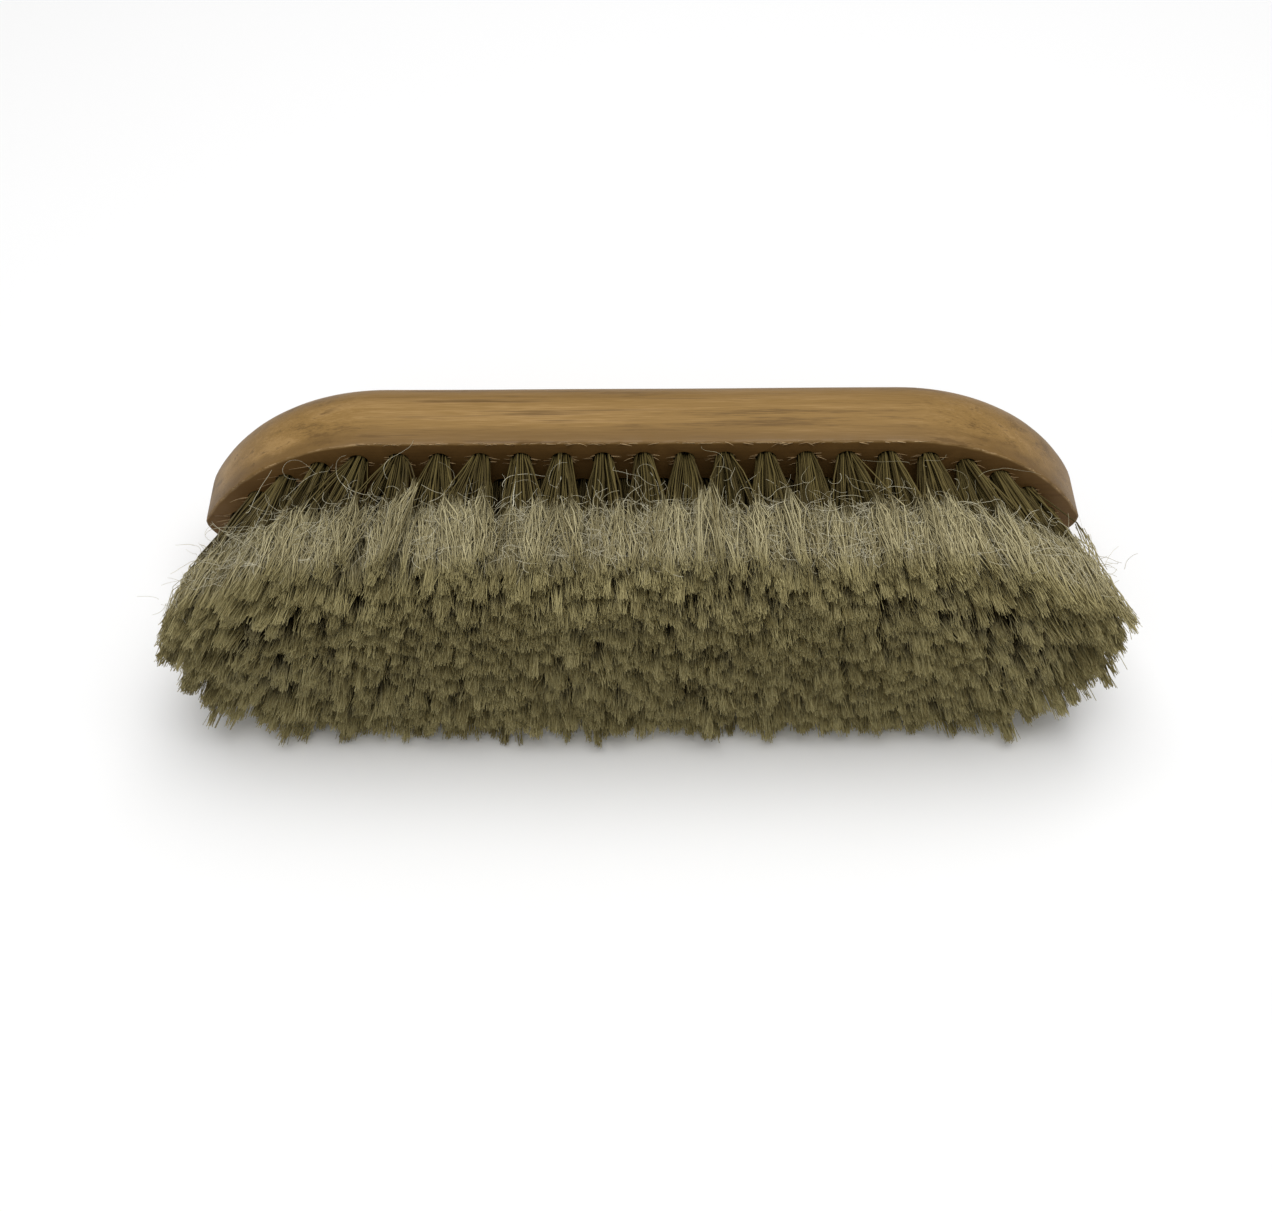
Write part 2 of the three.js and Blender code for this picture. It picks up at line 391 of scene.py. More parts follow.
def add_piece(name, mesh, material, nodes=()):
    """Shows a finished mesh as a piece of the brush that stands for these CAD nodes."""
    piece = bpy.data.objects.new(name, mesh)
    bpy.context.scene.collection.objects.link(piece)
    mesh.materials.clear()
    mesh.materials.append(material)
    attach(piece, "root")
    if nodes:
        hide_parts(*nodes)


def mesh_of(bm, name):
    """Turns a finished bmesh into a mesh and frees it."""
    mesh = bpy.data.meshes.new(name)
    bm.to_mesh(mesh)
    bm.free()
    return mesh


def evaluated_mesh(thing):
    """A mesh of its own from an object with its modifiers or bevel applied."""
    view = bpy.context.evaluated_depsgraph_get()
    return bpy.data.meshes.new_from_object(thing.evaluated_get(view))


class Tuft:
    """One bundle: where it sits in its hole, where it leaves the face, and its CAD node."""

    def __init__(self, name, node, bottom, mouth):
        self.name = name
        self.node = node
        self.bottom = bottom
        self.mouth = mouth
        self.step = (mouth - bottom) / (bottom[1] - mouth[1])  # travel for each metre of depth
        self.outer = node.startswith("ring")

    def centre(self, depth):
        """Centre of the bundle at a depth in front of the bristle face. Depths may be an array."""
        return self.mouth + np.multiply.outer(depth, self.step)


def clusters(points, gap):
    """Centres of groups of points that stand further apart than gap along X."""
    points = points[np.argsort(points[:, 0])]
    cuts = np.flatnonzero(np.diff(points[:, 0]) > gap) + 1
    return [(group.min(0) + group.max(0)) / 2 for group in np.split(points, cuts)]


def tufts_of(node):
    """The bundles that a CAD node stands for, read from its sections at the hole bottom and at the face."""
    points = np.array([v.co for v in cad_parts[node].data.vertices])
    near = 0.02 * MM
    gap = 2.5 * MM
    bottoms = clusters(points[points[:, 1] > points[:, 1].max() - near], gap)
    mouths = clusters(points[abs(points[:, 1] - FACE_Y) < near], gap)
    if len(bottoms) != len(mouths):
        raise RuntimeError(f"{node} doesn't show the same bundles at its holes and at the face")
    if len(bottoms) == 1:
        return [Tuft(node, node, bottoms[0], mouths[0])]
    return [
        Tuft(f"{node}_tuft_{i}", node, bottom, mouth)
        for i, (bottom, mouth) in enumerate(zip(bottoms, mouths), 1)
    ]


RING_TUFTS = [tuft for node in RING_NODES for tuft in tufts_of(node)]
ROW_TUFTS = [tuft for node in ROW_NODES for tuft in tufts_of(node)]
TUFTS = RING_TUFTS + ROW_TUFTS
TIPS = np.array([tuft.centre(BRISTLE_LENGTH)[[0, 2]] for tuft in TUFTS])  # X and Z


# ---------------------------------------------------------------------------------------------------------
# Wooden block
# ---------------------------------------------------------------------------------------------------------

STRAIGHT_CUTS = 44
ARC_STEPS = 24
NOSE_STEPS = 8
SHOULDER_STEPS = 9
NOSE_SHRINK = 0.4  # of the inset, taken off the nose radius
HAND_WAVES, HAND_DEPTH = 28, 0.22 * MM  # waves in a metre of a hand-finished outline, and their height
FINE_TEARS, FINER_TEARS = 420, 1100  # waves in a metre along the torn front edge
# Depth and inset in edge breaks, and how far the tears reach in millimetres
WORN_EDGE = ((0, 1, 0.3), (0.2, 0.55, 0.3), (0.7, 0.12, 0.18), (1.6, 0, 0.05))

BIT_SIDES = 20
COLLAR_HEIGHT = 1.5 * MM
CHAMFER_WIDTH = 0.18 * MM
CHAMFER_FROM, CHAMFER_TO = 0.05 * MM, 0.3 * MM
POINT_LENGTH = 0.7 * MM
SHARP_EDGE = math.radians(32)


def outline_ring(block, depth, inset, tear):
    """A mesh of one closed loop round the block, at a depth behind the bristle face and drawn in by inset."""
    y = FACE_Y + depth
    end_radius = block.end_radius - inset
    nose_radius = block.nose_radius - NOSE_SHRINK * inset
    half_width = block.width / 2 - inset
    drop = end_radius - half_width
    reach = math.sqrt((end_radius - nose_radius) ** 2 - drop**2)
    nose_x = block.length / 2 - inset - nose_radius
    straight = nose_x - reach
    turn = math.atan2(drop, reach)

    bm = bmesh.new()
    ends = [bm.verts.new((x, y, half_width)) for x in (0, straight)]
    bmesh.ops.subdivide_edges(bm, edges=[bm.edges.new(ends)], cuts=STRAIGHT_CUTS)
    for centre, angle, steps in (
        ((straight, y, -drop), math.pi / 2 - turn, ARC_STEPS),
        ((nose_x, y, 0), turn, NOSE_STEPS),
    ):
        corner = max(bm.verts, key=lambda v: v.co.x)
        bmesh.ops.spin(bm, geom=[corner], cent=centre, axis=(0, 1, 0), angle=angle, steps=steps)
    for axis in "ZX":
        quarter = bm.verts[:] + bm.edges[:]
        bmesh.ops.mirror(bm, geom=quarter, matrix=Matrix.Identity(4), merge_dist=0.01 * MM, axis=axis)
    bmesh.ops.translate(bm, verts=bm.verts, vec=(0, 0, MIDDLE_Z))
    for v in bm.verts:
        hand = noise.noise(v.co * HAND_WAVES) * HAND_DEPTH
        rag = (noise.noise(v.co * FINE_TEARS) + 0.6 * noise.noise(v.co * FINER_TEARS)) * tear
        out = Vector((v.co.x / 3, 0, v.co.z - MIDDLE_Z)).normalized()
        v.co += out * (hand + rag)
    return mesh_of(bm, "outline_ring")


def block_body(block):
    """The block before drilling, bridged through outline rings from the worn front edge to the back."""
    edge = block.edge_break
    levels = [(depth * edge, inset * edge, tear * MM) for depth, inset, tear in WORN_EDGE]
    levels += [(block.side_band * t, 0, 0) for t in (0.25, 0.5, 0.75)]
    for i in range(SHOULDER_STEPS + 1):
        a = math.pi / 2 * i / SHOULDER_STEPS
        rise = (block.thickness - block.side_band) * math.sin(a)
        levels.append((block.side_band + rise, block.shoulder * (1 - math.cos(a)), 0))

    bm = bmesh.new()
    rings = []
    for level in levels:
        known = len(bm.edges)
        bm.from_mesh(outline_ring(block, *level))
        bm.edges.ensure_lookup_table()
        rings.append(bm.edges[known:])
    for lower, upper in zip(rings, rings[1:]):
        bmesh.ops.bridge_loops(bm, edges=lower + upper)
    for ring in (rings[0], rings[-1]):
        bmesh.ops.contextual_create(bm, geom=ring)
    bmesh.ops.recalc_face_normals(bm, faces=bm.faces)
    return mesh_of(bm, "block_body")


def drill_bit(block):
    """One cutter with a chamfering collar and a pointed end, along -Z from its mouth at the origin."""
    radius = block.hole_radius
    profile = [
        (0, COLLAR_HEIGHT),
        (radius + CHAMFER_WIDTH, COLLAR_HEIGHT),
        (radius + CHAMFER_WIDTH, -CHAMFER_FROM),
        (radius, -CHAMFER_TO),
        (radius, -block.hole_depth),
        (0, -block.hole_depth - POINT_LENGTH),
    ]
    bm = bmesh.new()
    verts = [bm.verts.new((r, 0, z)) for r, z in profile]
    edges = [bm.edges.new(pair) for pair in zip(verts, verts[1:])]
    whole = {"cent": (0, 0, 0), "axis": (0, 0, 1), "angle": 2 * math.pi, "use_merge": True}
    bmesh.ops.spin(bm, geom=verts + edges, steps=BIT_SIDES, **whole)
    bmesh.ops.remove_doubles(bm, verts=bm.verts, dist=0.001 * MM)
    bmesh.ops.recalc_face_normals(bm, faces=bm.faces)
    return mesh_of(bm, "drill_bit")


def drill_bits(block, tufts):
    """All the cutters, each along its own tuft."""
    bit = drill_bit(block)
    bm = bmesh.new()
    for tuft in tufts:
        known = len(bm.verts)
        bm.from_mesh(bit)
        bm.verts.ensure_lookup_table()
        turn = Vector(tuft.step).to_track_quat("Z", "Y").to_matrix().to_4x4()
        bmesh.ops.transform(bm, verts=bm.verts[known:], matrix=Matrix.Translation(tuft.mouth) @ turn)
    return mesh_of(bm, "drill_bits")


class BrushMakeBlock(bpy.types.Operator):
    """Makes the wooden block and drills its tuft holes"""

    bl_idname = "brush.make_block"
    bl_label = "Wooden block"

    def execute(self, context):
        block = context.scene.brush_block
        blank = bpy.data.objects.new("block_blank", block_body(block))
        cutter = bpy.data.objects.new("block_cutter", drill_bits(block, TUFTS))
        for thing in (blank, cutter):
            context.scene.collection.objects.link(thing)
        drilling = blank.modifiers.new("drilling", "BOOLEAN")
        drilling.operation = "DIFFERENCE"
        drilling.solver = "EXACT"
        drilling.object = cutter
        mesh = evaluated_mesh(blank)
        for thing in (blank, cutter):
            bpy.data.objects.remove(thing)
        if len(mesh.polygons) < len(TUFTS) * BIT_SIDES:
            raise RuntimeError("the tuft holes weren't cut")
        mesh.shade_smooth()
        mesh.set_sharp_from_angle(angle=SHARP_EDGE)
        add_piece("drilled_block", mesh, wood_finish(block), ["wood_block"])
        return {"FINISHED"}


# ---------------------------------------------------------------------------------------------------------
# Bristles
# ---------------------------------------------------------------------------------------------------------

STRAND_SIDES = 3

OPEN_DEPTH = 19 * MM  # where a tuft has opened to its full spread
OPEN_CURVE = 1.25
OPEN_SIDE = 9.5 * MM  # with no neighbour's border nearer than this, a tuft's side is open
OVERLAP = 1.12  # how far a tuft reaches past the border with its neighbour
ROUND_OFF = 3.6 * MM  # how far the trimmed face falls back at the rim
FLOOR_LAYER = 1.5 * MM  # strands that would reach through the floor are pressed into this layer
LOWEST_STRAND = 0.15 * MM

STEM_DEPTHS = np.array([-9.6, 0.3, 7, 15]) * MM
STEM_TAPER = np.array([1, 1, 0.95, 0.8, 0.3])
STEM_ENDS = (20, 30)  # millimetres
WISPS = 6  # groups that the stems of a tuft part into
WISP_PULL = 0.32
STRAYING, STRAY_REACH = 0.1, (1.1, 1.5)  # part of the stems that lean out further than the rest
USUAL_REACH = (0.85, 1.05)
STEM_SCATTER, TUFT_SHIFT, STEM_BOW = 0.3 * MM, 0.55 * MM, 0.15 * MM

LOCKS = 22  # points that the split ends of a tuft gather at
LOCK_STAGGER, LOCK_BEND = 1.4 * MM, 0.5 * MM
GATHER = (0.4, 0.75)  # how far a split end is drawn to its lock
FLAG_SCATTER, CUT_SCATTER = 1.15 * MM, 0.38 * MM
SHORT_FLAGS, SHORTEST_BY = 0.12, 4 * MM
OUTER_START, INNER_START = (15 * MM, 20.5 * MM), (17 * MM, 28 * MM)  # where flags leave their stems
START_ALONG, START_ASIDE = 1.2 * MM, 0.3 * MM
OUTER_SPLIT, INNER_SPLIT = (0, 0.3, 0.68, 1), (0, 0.6, 1)  # points along a flag
FLAG_SWAY = [0, 0.3, 0.7, 1], [0, 0.9, 0.6, 0.4]  # part of the length, and millimetres
FLAG_TAPER = [0, 0.6, 1], [0.9, 1.05, 0.7]


def strand_mesh(name, groups, sides=STRAND_SIDES):
    """A mesh of thin closed tubes. Each group is (points, radii, along, strand): paths of equal length."""
    profile = bpy.data.curves.new("strand_profile", "CURVE")
    loop = profile.splines.new("POLY")
    loop.points.add(sides - 1)
    for i, point in enumerate(loop.points):
        angle = -2 * math.pi * i / sides
        point.co = (math.cos(angle), math.sin(angle), 0, 1)
    loop.use_cyclic_u = True
    section = bpy.data.objects.new("strand_profile", profile)

    curve = bpy.data.curves.new("strands", "CURVE")
    curve.dimensions = "3D"
    curve.bevel_mode = "OBJECT"
    curve.bevel_object = section
    along_values, strand_values = [], []
    for points, radii, along, strand in groups:
        homogeneous = np.ones((*points.shape[:2], 4), np.float32)
        homogeneous[..., :3] = points
        thick = np.ascontiguousarray(radii, np.float32)
        for path, width in zip(homogeneous, thick):
            spline = curve.splines.new("POLY")
            spline.points.add(len(path) - 1)
            spline.points.foreach_set("co", path.ravel())
            spline.points.foreach_set("radius", width)
        along_values.append(along.ravel())
        strand_values.append(np.repeat(strand, points.shape[1]))
    tubes = bpy.data.objects.new("strands", curve)
    for thing in (section, tubes):
        bpy.context.scene.collection.objects.link(thing)
    mesh = evaluated_mesh(tubes)
    for thing in (section, tubes):
        bpy.data.objects.remove(thing)
    bpy.data.curves.remove(curve)
    bpy.data.curves.remove(profile)

    mesh.name = name
    for attribute, values in (("along", along_values), ("strand", strand_values)):
        per_vertex = np.repeat(np.concatenate(values), sides).astype(np.float32)
        if len(per_vertex) != len(mesh.vertices):
            raise RuntimeError(f"{name} has {len(mesh.vertices)} vertices instead of {len(per_vertex)}")
        mesh.attributes.new(attribute, "FLOAT", "POINT").data.foreach_set("value", per_vertex)
    bm = bmesh.new()
    bm.from_mesh(mesh)
    bmesh.ops.holes_fill(bm, edges=[e for e in bm.edges if e.is_boundary], sides=sides)
    bm.to_mesh(mesh)
    bm.free()
    mesh.shade_smooth()
    return mesh


def in_disc(rng, number):
    """Points spread evenly in a unit disc, as X and Z parts."""
    turn = rng.uniform(0, 2 * math.pi, number)
    radius = np.sqrt((np.arange(number) + rng.uniform(0, 1, number)) / number)
    rng.shuffle(turn)
    return np.stack([radius * np.cos(turn), radius * np.sin(turn)], axis=1)


def opened(depth):
    """How far a tuft has opened at a depth, from 0 in its hole to 1."""
    t = np.clip(np.asarray(depth) / OPEN_DEPTH, 0, 1)
    return 1 - (1 - t) ** OPEN_CURVE


def room(tuft, places, spread):
    """Places in a unit disc, stretched until the tuft meets its neighbours or to spread on an open side."""
    away = TIPS - tuft.centre(BRISTLE_LENGTH)[[0, 2]]
    distance = np.linalg.norm(away, axis=1)
    away, distance = away[distance > MM], distance[distance > MM]
    ways = places / np.maximum(np.linalg.norm(places, axis=1), 0.01)[:, None]
    facing = np.maximum(ways @ (away / distance[:, None]).T, 0.02)  # a neighbour behind counts as far off
    meets = (distance / 2 / facing).min(axis=1)
    open_reach = spread if tuft.outer else OPEN_SIDE
    return places * np.where(meets > OPEN_SIDE, open_reach, meets * OVERLAP)[:, None]


def trimmed_depth(places):
    """Where the trimmed face lies over each X, Z place: flat in the middle and rounded off at the rim."""
    rim_x = np.abs(places[:, 0]) / MASS_HALF_LENGTH
    rim_z = np.abs(places[:, 1] - MASS_TOP / 2) / (MASS_TOP / 2)
    rim = np.clip(rim_x, 0, 1.1) ** 8 + np.clip(rim_z, 0, 1.1) ** 6
    return BRISTLE_LENGTH - ROUND_OFF * np.clip(rim, 0, 1.2)


def above_floor(points):
    """Presses whatever would reach through the floor into a thin layer on it."""
    z = points[..., 2]
    pressed = FLOOR_LAYER * np.exp((z - FLOOR_LAYER) / (2 * FLOOR_LAYER))
    points[..., 2] = np.where(z < FLOOR_LAYER, np.maximum(pressed, LOWEST_STRAND), z)
    return points


def stem_paths(tuft, bristle, rng):
    """The stems of one tuft: a function for their offsets at a depth, and their group for strand_mesh."""
    stems = bristle.stems if tuft.outer else bristle.inner_stems
    disc = in_disc(rng, stems)
    root = disc * bristle.root_radius
    wisps = in_disc(rng, WISPS)
    wisp = np.argmin(((disc[:, None] - wisps[None]) ** 2).sum(-1), axis=1)
    drawn = disc * (1 - WISP_PULL) + wisps[wisp] * WISP_PULL
    straying = rng.uniform(0, 1, stems) < STRAYING
    reach = np.where(straying, rng.uniform(*STRAY_REACH, stems), rng.uniform(*USUAL_REACH, stems))
    full = room(tuft, drawn, bristle.spread) * rng.uniform(0.92, 1.08) * reach[:, None]
    full += rng.normal(0, STEM_SCATTER, (stems, 2)) + rng.normal(0, TUFT_SHIFT, 2)

    def offset(which, depth):
        grown = opened(depth)[..., None]
        return root[which][:, None, :] * (1 - grown) + full[which][:, None, :] * grown

    end = rng.uniform(*STEM_ENDS, stems) * MM
    depth = np.concatenate([np.tile(STEM_DEPTHS, (stems, 1)), end[:, None]], axis=1)
    bow = rng.normal(0, STEM_BOW, (stems, depth.shape[1], 2))
    bow[:, :2] *= 0.2  # in the hole and at its mouth
    points = above_floor(placed(tuft, depth, offset(np.arange(stems), depth) + bow))
    radii = bristle.stem_radius * rng.uniform(0.65, 1.2, stems)[:, None] * STEM_TAPER
    along = np.clip(depth / BRISTLE_LENGTH, 0, 1)
    return offset, (points, radii, along, rng.uniform(0, 1, stems))


def placed(tuft, depth, offsets):
    """Points at these depths along a tuft, moved by X and Z offsets."""
    points = tuft.centre(depth)
    points[..., 0] += offsets[..., 0]
    points[..., 2] += offsets[..., 1]
    return points


def flag_paths(tuft, bristle, stems, offset, rng):
    """The split ends of one tuft, which leave its stems, gather into locks and end at the trimmed face."""
    flags = bristle.flags if tuft.outer else bristle.inner_flags
    parent = rng.integers(0, stems, flags)
    centres = room(tuft, in_disc(rng, LOCKS), bristle.spread)
    reach = rng.normal(0, LOCK_STAGGER, LOCKS)
    bend = rng.normal(0, LOCK_BEND, (LOCKS, 2))
    full = np.full((flags, 1), BRISTLE_LENGTH)
    spot = offset(parent, full)[:, 0] + rng.normal(0, FLAG_SCATTER, (flags, 2))
    lock = np.argmin(((spot[:, None, :] - centres[None]) ** 2).sum(-1), axis=1)
    gather = rng.uniform(*GATHER, flags)[:, None]
    tip = spot * (1 - gather) + centres[lock] * gather + bend[lock]

    over = tuft.centre(full[:, 0])[:, [0, 2]] + tip
    cut = trimmed_depth(over) + reach[lock] + rng.normal(0, CUT_SCATTER, flags)
    short = rng.uniform(0, 1, flags) < SHORT_FLAGS
    cut -= np.where(short, rng.uniform(0, SHORTEST_BY, flags), 0)
    begin = rng.uniform(*(OUTER_START if tuft.outer else INNER_START), flags)
    begin += rng.normal(0, START_ALONG, stems)[parent]
    split = np.array(OUTER_SPLIT if tuft.outer else INNER_SPLIT)
    depth = begin[:, None] + (cut - begin)[:, None] * split
    start = offset(parent, begin[:, None])[:, 0] + rng.normal(0, START_ASIDE, (flags, 2))
    drawn = (split**0.75)[None, :, None]
    sway = np.interp(split, *FLAG_SWAY)[:, None] * MM
    wave = rng.normal(0, 1, (flags, len(split), 2)) * sway
    offsets = start[:, None, :] * (1 - drawn) + tip[:, None, :] * drawn + wave
    points = above_floor(placed(tuft, depth, offsets))
    fine = bristle.flag_radius * rng.uniform(0.6, 1.25, flags)
    radii = fine[:, None] * np.interp(split, *FLAG_TAPER)
    tone = 0.62 * rng.uniform(0, 1, flags) + 0.38 * rng.uniform(0, 1, LOCKS)[lock]
    return points, radii, depth / BRISTLE_LENGTH, tone


def make_tufts(tufts, bristle, first_seed):
    outer_fibre = bristle_finish("bristle_fibre", bristle, bristle.root_colour, OUTER_BLEACH, OUTER_TRIM)
    inner_fibre = bristle_finish("inner_fibre", bristle, bristle.inner_painted_shade, INNER_BLEACH, INNER_TRIM)
    for i, tuft in enumerate(tufts):
        rng = np.random.default_rng(first_seed + i)
        offset, stems = stem_paths(tuft, bristle, rng)
        flags = flag_paths(tuft, bristle, len(stems[0]), offset, rng)
        mesh = strand_mesh(tuft.name + "_bristles", [stems, flags])
        fibre = outer_fibre if tuft.outer else inner_fibre
        add_piece(tuft.name + "_bristles", mesh, fibre, [tuft.node])


class BrushMakeRing(bpy.types.Operator):
    """Fills the outer ring of holes with tufts"""

    bl_idname = "brush.make_ring"
    bl_label = "Outer ring of tufts"

    def execute(self, context):
        make_tufts(RING_TUFTS, context.scene.brush_bristle, SEED * 1000)
        return {"FINISHED"}


class BrushMakeRows(bpy.types.Operator):
    """Fills the inner rows of holes with tufts"""

    bl_idname = "brush.make_rows"
    bl_label = "Inner rows of tufts"

    def execute(self, context):
        make_tufts(ROW_TUFTS, context.scene.brush_bristle, SEED * 2000)
        return {"FINISHED"}


def wandering(rng, start, heading, length, steps, curl):
    """A path of equal steps whose heading swings round smoothly, as a loose hair's does."""
    swing = rng.normal(0, curl, 3)
    points = [start]
    for _ in range(steps):
        swing = 0.85 * swing + rng.normal(0, 0.5 * curl, 3)
        heading = heading + np.cross(swing, heading)
        heading[2] *= 0.8  # keeps it low over the tufts
        heading = heading / np.linalg.norm(heading)
        points.append(points[-1] + heading * length / steps)
    return np.array(points)


def over_tuft(rng, tuft, low, high):
    """A place on the upper side of a tuft at a random depth between two."""
    depth = rng.uniform(low, high)
    up = 2 * MM + 2.4 * MM * opened(depth)
    return tuft.centre(depth) + np.array([rng.normal(0, 2.6 * MM), 0, up + rng.uniform(-0.6, 0.6) * MM])


# Loose hairs: depth where they start, length, steps, curl and radius
LONG_HAIRS = (5 * MM, 17 * MM), (5 * MM, 16 * MM), 18, 0.17, 0.042 * MM
SHORT_CURLS = (16 * MM, 32 * MM), (2.5 * MM, 7 * MM), 7, 0.22, 0.045 * MM
LOOSE_ABOVE = MIDDLE_Z + 4 * MM  # loose hairs lie over the tufts whose holes are above this
BLEACHED_TUFTS = ("ring_tuft_43", "ring_tuft_44")  # tufts with one stout bleached bristle on top
BLEACHED_DEPTHS = np.linspace(0.3, 19, 8) * MM
BLEACHED_RADIUS = 0.17 * MM


class BrushMakeLooseHairs(bpy.types.Operator):
    """Strews loose curly hairs and short frizz over the outer tufts"""

    bl_idname = "brush.make_loose_hairs"
    bl_label = "Loose hairs"

    def execute(self, context):
        bristle = context.scene.brush_bristle
        rng = np.random.default_rng(SEED)
        groups = [
            self.loose_group(rng, bristle.loose_hairs, *LONG_HAIRS),
            self.loose_group(rng, bristle.frizz, *SHORT_CURLS),
            self.bleached_group(rng),
        ]
        mesh = strand_mesh("loose_hairs", groups)
        add_piece("loose_hairs", mesh, loose_hair_finish())
        return {"FINISHED"}

    @staticmethod
    def loose_group(rng, number, depths, lengths, steps, curl, radius):
        """A number of wandering hairs over the upper tufts."""
        upper = [tuft for tuft in RING_TUFTS if tuft.mouth[2] > LOOSE_ABOVE]
        paths = []
        for _ in range(number):
            tuft = upper[rng.integers(len(upper))]
            heading = rng.normal(0, 1, 3) * (1, 1, 0.35) + (0, -0.6, 0)
            start = over_tuft(rng, tuft, *depths)
            heading /= np.linalg.norm(heading)
            paths.append(wandering(rng, start, heading, rng.uniform(*lengths), steps, curl))
        points = np.array(paths)
        radii = radius * rng.uniform(0.7, 1.3, number)[:, None] * np.linspace(1, 0.6, steps + 1)
        return points, radii, np.zeros(points.shape[:2]), rng.uniform(*HAIR_TONES, number)

    @staticmethod
    def bleached_group(rng):
        """The stout bleached bristles."""
        depth = BLEACHED_DEPTHS
        lift = (1.75 * MM + 2.2 * MM * opened(depth))[:, None] * np.array([0, 0, 1])
        paths = []
        for tuft in (tuft for tuft in RING_TUFTS if tuft.name in BLEACHED_TUFTS):
            aside = np.array([rng.uniform(-0.6, 0.6) * MM, 0, 0])
            waver = rng.normal(0, 0.16 * MM, (len(depth), 3))
            paths.append(tuft.centre(depth) + aside + lift + waver)
        shape = (len(paths), len(depth))
        return np.array(paths), np.full(shape, BLEACHED_RADIUS), np.zeros(shape), np.ones(len(paths))


# ---------------------------------------------------------------------------------------------------------
# Wire anchors and torn wood
# ---------------------------------------------------------------------------------------------------------

ANCHOR_LEG = 4 * MM
ARCH_POINTS = 5
WIRE_SIDES = 8
ANCHOR_HALF_WIDTH = 1.1 * MM
ANCHOR_RADIUS = 0.3 * MM
ANCHOR_DEPTH = -10.4 * MM

SLIVERS_PER_HOLE = 7
EDGE_SLIVERS = 170
SLIVER_STEPS = 4
RAGGED_END = -60 * MM  # the holes beyond this in X are torn twice as far
CURVED_END = 34 * MM  # the edge slivers stay clear of the round ends


class BrushMakeAnchors(bpy.types.Operator):
    """Bends the wire anchor that holds each tuft at the bottom of its hole"""

    bl_idname = "brush.make_anchors"
    bl_label = "Wire anchors"

    def execute(self, context):
        arch = [(math.cos(a), math.sin(a)) for a in np.linspace(math.pi, 0, ARCH_POINTS)]
        shape = [(-1, -ANCHOR_LEG / ANCHOR_HALF_WIDTH), *arch, (1, -ANCHOR_LEG / ANCHOR_HALF_WIDTH)]
        shape = np.array(shape) * ANCHOR_HALF_WIDTH
        paths = []
        for tuft in TUFTS:
            forward = tuft.step / np.linalg.norm(tuft.step)
            sideways = np.cross(forward, (0, 0, 1))
            crown = tuft.centre(ANCHOR_DEPTH) - forward * ANCHOR_HALF_WIDTH
            paths.append(crown + shape[:, :1] * sideways + shape[:, 1:] * forward)
        points = np.array(paths)
        flat = np.zeros(points.shape[:2])
        group = (points, np.full(points.shape[:2], ANCHOR_RADIUS), flat, flat[:, 0])
        add_piece("wire_anchors", strand_mesh("wire_anchors", [group], sides=WIRE_SIDES), wire_finish())
        return {"FINISHED"}


class BrushMakeSplinters(bpy.types.Operator):
    """Lifts slivers of torn wood beside the outer holes and along the front edge"""

    bl_idname = "brush.make_splinters"
    bl_label = "Torn wood"

    def execute(self, context):
        block = context.scene.brush_block
        rng = np.random.default_rng(SEED + 1)
        paths = []
        for tuft in RING_TUFTS:
            ragged = 2 if tuft.mouth[0] < RAGGED_END else 1
            for _ in range(SLIVERS_PER_HOLE):
                side = rng.choice((-1, 1))
                rise = rng.uniform(-0.6, 0.9)
                start = tuft.mouth + np.array([side * math.cos(rise), 0, math.sin(rise)]) * block.hole_radius
                start = start + (0, rng.uniform(-0.1, 0.1) * MM, 0)
                heading = np.array([side, rng.uniform(-0.35, 0), rng.normal(0, 0.12)])
                length = rng.uniform(0.8, 2.2) * MM * ragged
                paths.append(self.sliver(rng, start, heading, length, 0.07))
        half = block.length / 2 - CURVED_END
        top = BLOCK_HIGH.z - 0.3 * MM
        for _ in range(EDGE_SLIVERS):
            start = np.array([rng.uniform(-half, half), FACE_Y + rng.uniform(0, 0.5) * MM, top])
            heading = np.array([rng.choice((-1, 1)), rng.uniform(-0.3, 0.1), rng.uniform(-0.05, 0.15)])
            length = rng.uniform(0.6, 2.4) * MM
            paths.append(self.sliver(rng, start, heading, length, 0.06))
        points = np.array(paths)
        radii = rng.uniform(0.06, 0.13, len(paths))[:, None] * MM * np.linspace(1, 0.25, SLIVER_STEPS + 1)
        group = (points, radii, np.zeros(points.shape[:2]), rng.uniform(0, 1, len(paths)))
        mesh = strand_mesh("torn_wood_slivers", [group])
        add_piece("torn_wood_slivers", mesh, torn_wood_finish())
        return {"FINISHED"}

    @staticmethod
    def sliver(rng, start, heading, length, curl):
        return wandering(rng, start, heading / np.linalg.norm(heading), length, SLIVER_STEPS, curl)


# ---------------------------------------------------------------------------------------------------------
# Stage
# ---------------------------------------------------------------------------------------------------------


SENSOR_WIDTH = 36
LENS_SHIFT = (-0.0057, -0.0661)
NEAR_CLIP = 0.01
FLOOR_HALF = 3
SOFTBOX_PLACE, SOFTBOX_WIDTH = (0.05, 0.02, 0.95), 0.9
FILL_PLACE, FILL_WIDTH = (-0.3, -0.9, 0.7), 0.8
LIT_PLACE = Vector((0, 0, 0.02))


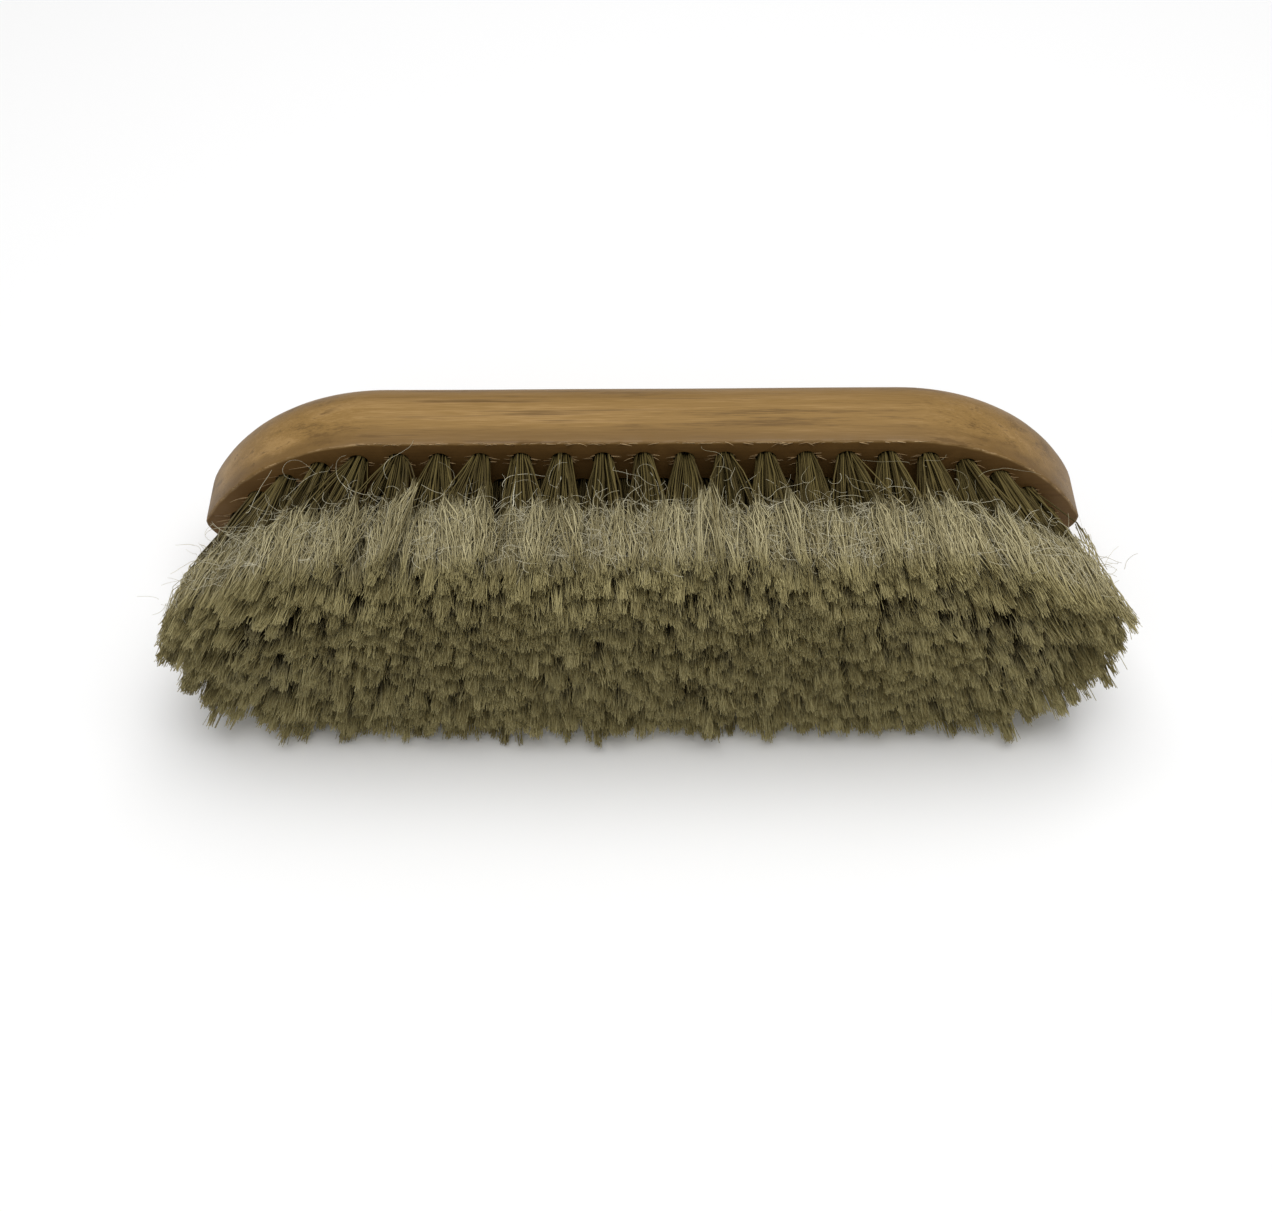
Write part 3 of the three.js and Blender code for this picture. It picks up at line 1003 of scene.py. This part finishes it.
class BrushSetStage(bpy.types.Operator):
    """Sets the camera, the pale floor and the studio lights"""

    bl_idname = "brush.set_stage"
    bl_label = "Camera, floor and lights"

    def execute(self, context):
        stage = context.scene.brush_stage
        self.set_camera(context.scene, stage)
        self.set_floor(context.scene, stage)
        self.set_lights(context.scene, stage)
        context.scene.view_settings.view_transform = "Standard"
        return {"FINISHED"}

    @staticmethod
    def set_camera(scene, stage):
        right = Vector((math.cos(stage.heading), math.sin(stage.heading), 0))
        level = Vector((right.y, -right.x, 0))
        back = level * math.cos(stage.elevation) + Vector((0, 0, math.sin(stage.elevation)))
        turn = Matrix((right, back.cross(right), back)).transposed().to_4x4()
        data = bpy.data.cameras.new("camera")
        data.sensor_width = SENSOR_WIDTH
        data.lens = stage.lens
        data.shift_x, data.shift_y = LENS_SHIFT
        data.clip_start = NEAR_CLIP
        camera = bpy.data.objects.new("camera", data)
        place = Matrix.Translation(Vector((0, FACE_Y, MIDDLE_Z)) + back * stage.distance)
        camera.matrix_world = place @ turn @ Matrix.Rotation(stage.roll, 4, "Z")
        scene.collection.objects.link(camera)
        scene.camera = camera

    @staticmethod
    def set_floor(scene, stage):
        bm = bmesh.new()
        bmesh.ops.create_grid(bm, x_segments=1, y_segments=1, size=FLOOR_HALF)
        mesh = mesh_of(bm, "floor")
        mesh.materials.append(floor_finish(stage))
        floor = bpy.data.objects.new("floor", mesh)
        scene.collection.objects.link(floor)

    @staticmethod
    def set_lights(scene, stage):
        world = bpy.data.worlds.new("studio")
        world.use_nodes = True
        sky = world.node_tree.nodes["Background"].inputs
        sky["Color"].default_value = (1, 1, 1, 1)
        sky["Strength"].default_value = stage.sky
        scene.world = world
        for name, place, width, energy in (
            ("overhead_softbox", SOFTBOX_PLACE, SOFTBOX_WIDTH, stage.key_power),
            ("front_fill", FILL_PLACE, FILL_WIDTH, stage.fill_power),
        ):
            data = bpy.data.lights.new(name, "AREA")
            data.shape = "SQUARE"
            data.size = width
            data.energy = energy
            lamp = bpy.data.objects.new(name, data)
            lamp.location = place
            lamp.rotation_euler = (Vector(place) - LIT_PLACE).to_track_quat("Z", "Y").to_euler()
            scene.collection.objects.link(lamp)


# ---------------------------------------------------------------------------------------------------------
# Panel and run
# ---------------------------------------------------------------------------------------------------------


class BrushPanel(bpy.types.Panel):
    """Lists the brush's settings and its making steps"""

    bl_idname = "VIEW3D_PT_brush"
    bl_label = "Neck duster brush"
    bl_space_type = "VIEW_3D"
    bl_region_type = "UI"
    bl_category = "Brush"

    def draw(self, context):
        for title, group in (
            ("Block", context.scene.brush_block),
            ("Bristle", context.scene.brush_bristle),
            ("Stage", context.scene.brush_stage),
        ):
            box = self.layout.box()
            box.label(text=title)
            for name in group.__annotations__:
                box.prop(group, name)
        for maker in MAKERS:
            self.layout.operator(maker.bl_idname)


SETTINGS = {
    "brush_block": BrushBlockSettings,
    "brush_bristle": BrushBristleSettings,
    "brush_stage": BrushStageSettings,
}
MAKERS = (
    BrushSetStage,
    BrushMakeBlock,
    BrushMakeSplinters,
    BrushMakeAnchors,
    BrushMakeRing,
    BrushMakeRows,
    BrushMakeLooseHairs,
)


def register():
    for cls in (*SETTINGS.values(), *MAKERS, BrushPanel):
        bpy.utils.register_class(cls)
    for name, cls in SETTINGS.items():
        setattr(bpy.types.Scene, name, PointerProperty(type=cls))


def unregister():
    for name in SETTINGS:
        delattr(bpy.types.Scene, name)
    for cls in (BrushPanel, *reversed(MAKERS), *SETTINGS.values()):
        bpy.utils.unregister_class(cls)


def main():
    register()
    for maker in MAKERS:
        group, name = maker.bl_idname.split(".")
        getattr(getattr(bpy.ops, group), name)()


if __name__ == "__main__":
    main()
